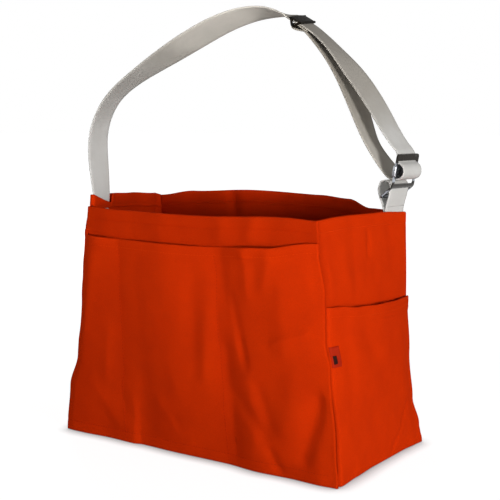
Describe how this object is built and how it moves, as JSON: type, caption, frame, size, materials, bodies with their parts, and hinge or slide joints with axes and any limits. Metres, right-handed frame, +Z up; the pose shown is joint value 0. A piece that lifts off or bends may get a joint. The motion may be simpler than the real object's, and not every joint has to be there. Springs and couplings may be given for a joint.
{
  "type": "survey stake bag",
  "caption": "Open-topped canvas bag for carrying survey stakes, with a compartmented front pocket, an end pocket and an adjustable shoulder strap.",
  "frame": {"origin": "on the floor, at the middle of the bottom panel's under side", "axes": "+X to the right along the pocketed front, +Y from the front wall to the back wall, +Z up"},
  "size_m": [0.4391, 0.2456, 0.5797],
  "materials": {
    "canvas": "orange-red coated duck canvas, matt",
    "webbing": "light grey woven webbing",
    "label_cloth": "dark red cloth, bare",
    "black_metal": "black japanned steel wire",
    "zinc_metal": "zinc-plated stamped steel"
  },
  "bodies": {
    "bag": {"front_panel": "canvas", "back_panel": "canvas", "left_end_panel": "canvas", "right_end_panel": "canvas", "bottom_panel": "canvas", "front_hem": "canvas", "back_hem": "canvas", "left_end_hem": "canvas", "right_end_hem": "canvas", "front_pocket": "canvas", "end_pocket": "canvas", "label_tab": "label_cloth", "strap_sewn_end": "webbing", "strap_bend": "webbing", "chape_outer_tail": "webbing", "chape_inner_tail": "webbing", "chape_loop": "webbing"},
    "strap": {"shoulder_strap": "webbing", "return_strap": "webbing"},
    "adjuster": {"slide_frame": "black_metal", "tail_fold": "webbing"},
    "grip": {"grip_bar": "zinc_metal"},
    "buckle": {"buckle_frame": "zinc_metal"}
  },
  "joints": [
    {"name": "strap_swing", "type": "hinge", "parent": "bag", "child": "strap", "pos_m": [-0.18255, -0.08305, 0.35086], "axis": [0.9189, 0.3931, -0.0339], "range_deg": [-65, 65], "deforming": ["strap_bend", "chape_loop"]},
    {"name": "adjuster_slide", "type": "hinge", "parent": "strap", "child": "adjuster", "pos_m": [-0.00074, -0.00934, 0.41093], "axis": [-0.3757, 0.9267, 0], "range_deg": [-0.4, 8], "deforming": ["return_strap"]},
    {"name": "buckle_tilt", "type": "hinge", "parent": "strap", "child": "grip", "pos_m": [0.20357, 0.07349, 0.36726], "axis": [0.0754, 0.9972, 0], "range_deg": [0, 30]},
    {"name": "buckle_slide", "type": "slide", "parent": "grip", "child": "buckle", "axis": [0.1842, -0.0139, 0.9828], "range_m": [0, 0.004]}
  ]
}
